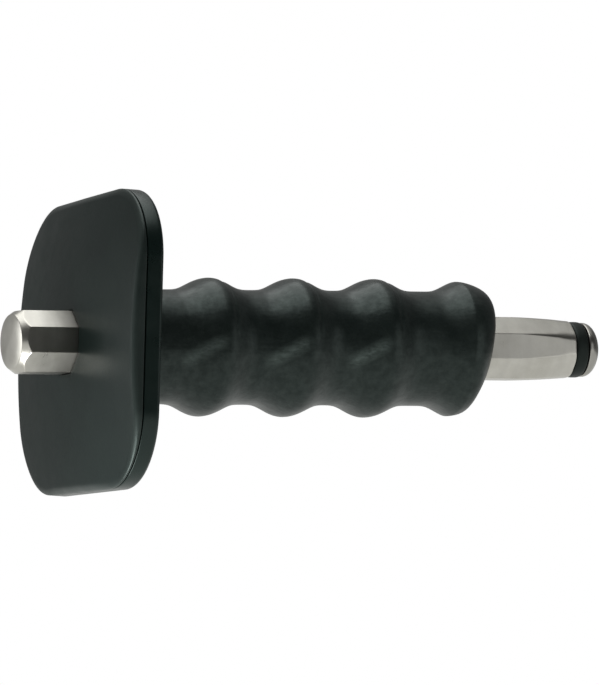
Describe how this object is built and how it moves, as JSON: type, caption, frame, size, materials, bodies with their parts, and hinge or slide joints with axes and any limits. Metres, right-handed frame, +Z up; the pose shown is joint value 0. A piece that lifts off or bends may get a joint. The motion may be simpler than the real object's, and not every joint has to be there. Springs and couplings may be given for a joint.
{
  "type": "hand-guarded post driver",
  "caption": "Hand-held driver with an octagonal steel bar through a soft finger-grooved grip, a square rounded hand guard near the striking end and a domed nose with a rubber ring.",
  "frame": {"origin": "centre of the striking face, on the bar's axis", "axes": "+X along the bar from the striking face to the domed nose; +Z up, square to the top flat of the octagon and to the guard's top edge; +Y to the guard's shorter side"},
  "size_m": [0.1653, 0.0762, 0.0775],
  "materials": {
    "plated_steel": "bright turned and ground",
    "spring_steel": "black oxide",
    "black_rubber": "satin",
    "soft_grip": "satin, moulded",
    "soft_facing": "satin, fine grain",
    "stiff_plastic": "satin, moulded"
  },
  "bodies": {
    "root": {"drive_bar": "plated_steel", "nose_ring": "black_rubber", "front_snap_ring": "spring_steel", "rear_snap_ring": "spring_steel", "grip_core": "stiff_plastic", "grip_cover": "soft_grip", "guard_facing": "soft_facing", "guard_plate": "stiff_plastic"}
  },
  "joints": []
}
